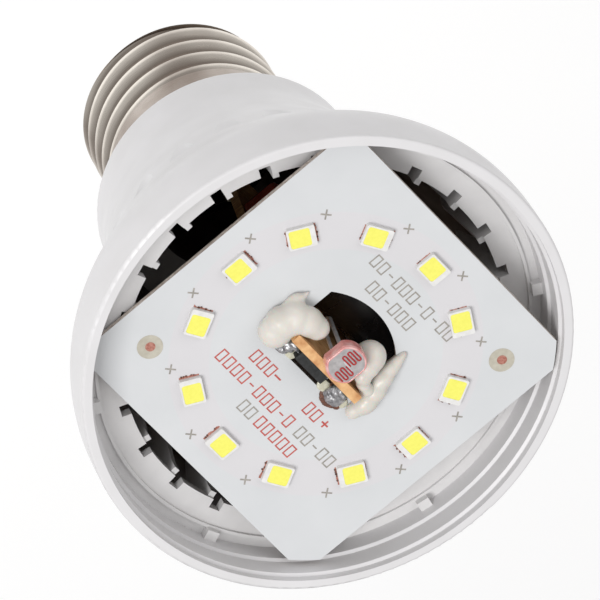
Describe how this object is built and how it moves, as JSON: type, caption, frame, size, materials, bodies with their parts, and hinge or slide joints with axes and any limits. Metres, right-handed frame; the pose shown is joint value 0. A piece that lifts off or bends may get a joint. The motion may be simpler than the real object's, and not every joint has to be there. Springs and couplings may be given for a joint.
{
  "type": "smart light bulb",
  "caption": "Opened screw-cap LED bulb: threaded metal cap, flared white housing, square LED board on a driver board with a dusk sensor, dome removed.",
  "frame": {"origin": "tip of the centre contact, on the bulb's axis", "axes": "+Z from the cap to the open mouth; +X and +Y along the edges of the square LED board"},
  "size_m": [0.0618, 0.0618, 0.0777],
  "materials": {
    "housing": "satin white",
    "screw_shell": "nickel plated",
    "contact": "tinned",
    "insulator": "black vitrified",
    "led_board": "white solder mask on aluminium",
    "led_package": "white moulded",
    "phosphor": "yellow phosphor gel",
    "circuit_board": "tan laminate",
    "black_epoxy": "moulded",
    "chip_ceramic": "fired",
    "capacitor_sleeve": "black sleeve",
    "film_dip": "dipped",
    "ferrite": "ferrite and lacquered wire",
    "solder": "tin solder",
    "tinned_wire": "tinned copper",
    "resistor_sleeve": "sleeved",
    "lead_insulation": "white insulation",
    "sensor_ceramic": "epoxy over ceramic",
    "sensor_face": "ceramic with sensing track",
    "silicone": "white silicone"
  },
  "bodies": {
    "base": {"housing": "housing", "ledge_ring": "housing", "ledge_ribs": "housing", "screw_shell": "screw_shell", "cap_insulator": "insulator", "centre_contact": "contact", "fusible_resistor": "resistor_sleeve", "neutral_lead": "lead_insulation"},
    "light_engine": {"led_board": "led_board", "driver_board": "circuit_board", "driver_ic": "black_epoxy", "bridge_rectifier": "black_epoxy", "flyback_diode": "black_epoxy", "electrolytic_capacitor": "capacitor_sleeve", "inductor": "ferrite", "film_capacitor": "film_dip", "solder_joint_positive": "solder", "solder_joint_negative": "solder", "photoresistor": "sensor_ceramic", "photoresistor_face": "sensor_face", "silicone_large": "silicone", "silicone_smear": "silicone", "silicone_lobe": "silicone", "led_01": "led_package", "led_phosphor_01": "phosphor", "led_02": "led_package", "led_phosphor_02": "phosphor", "led_03": "led_package", "led_phosphor_03": "phosphor", "led_04": "led_package", "led_phosphor_04": "phosphor", "led_05": "led_package", "led_phosphor_05": "phosphor", "led_06": "led_package", "led_phosphor_06": "phosphor", "led_07": "led_package", "led_phosphor_07": "phosphor", "led_08": "led_package", "led_phosphor_08": "phosphor", "led_09": "led_package", "led_phosphor_09": "phosphor", "led_10": "led_package", "led_phosphor_10": "phosphor", "led_11": "led_package", "led_phosphor_11": "phosphor", "led_12": "led_package", "led_phosphor_12": "phosphor", "chip_resistor_1": "chip_ceramic", "chip_resistor_2": "chip_ceramic", "chip_resistor_3": "chip_ceramic", "chip_resistor_4": "chip_ceramic", "capacitor_lead_1": "tinned_wire", "photoresistor_lead_1": "tinned_wire", "capacitor_lead_2": "tinned_wire", "photoresistor_lead_2": "tinned_wire"}
  },
  "joints": [
    {"name": "light_engine_slide", "type": "slide", "parent": "base", "child": "light_engine", "axis": [0, 0, 1], "range_m": [0, 0.06]}
  ]
}
